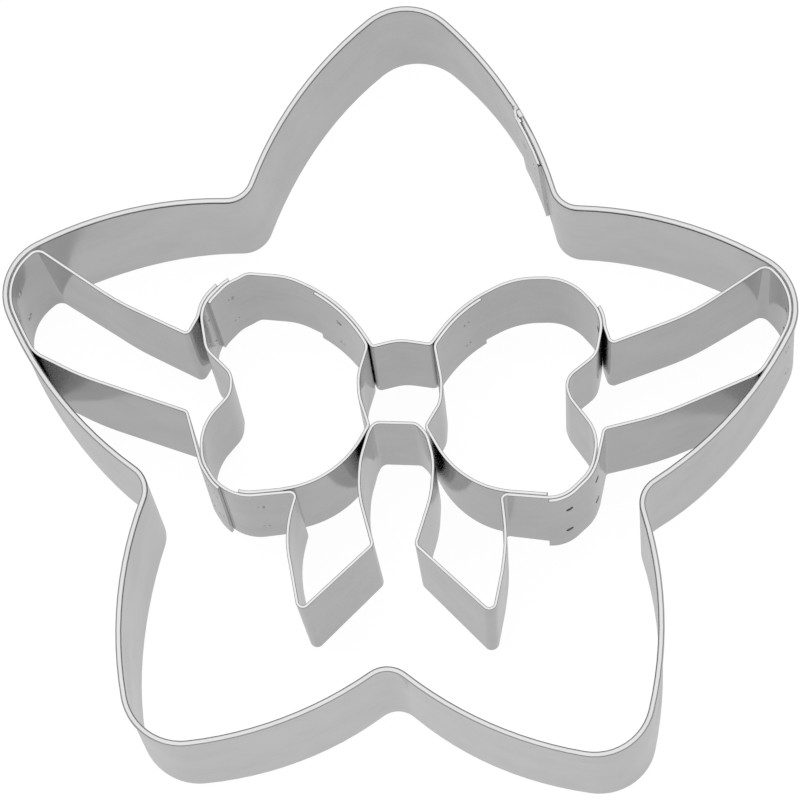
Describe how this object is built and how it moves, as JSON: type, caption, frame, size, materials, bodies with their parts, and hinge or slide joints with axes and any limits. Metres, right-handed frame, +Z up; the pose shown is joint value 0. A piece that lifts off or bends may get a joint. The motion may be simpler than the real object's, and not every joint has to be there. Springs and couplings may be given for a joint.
{
  "type": "cookie cutter",
  "caption": "Sheet-steel cookie cutter: a rounded five-pointed star with a ribbon bow held inside it by two folded straps, all spot-welded.",
  "frame": {"origin": "centre of the star's box at the cutting edge plane, the star's top arm points to +Y", "axes": "+Z up from the cutting edge to the rolled rim, +Y to the top arm, +X to the right arm seen from the rim side"},
  "size_m": [0.0876, 0.0852, 0.018],
  "materials": {
    "strip_steel": "bright cold-rolled stainless strip",
    "weld_steel": "dull grey spot-weld nugget"
  },
  "bodies": {
    "root": {"star_strip": "strip_steel", "bow_outline": "strip_steel", "left_strap": "strip_steel", "right_strap": "strip_steel", "left_loop_inner": "strip_steel", "right_loop_inner": "strip_steel", "star_lap_welds": "weld_steel", "left_tip_welds": "weld_steel", "right_tip_welds": "weld_steel", "bow_lap_welds": "weld_steel", "left_tab_welds": "weld_steel", "right_tab_welds": "weld_steel", "left_loop_welds": "weld_steel", "right_loop_welds": "weld_steel"}
  },
  "joints": []
}
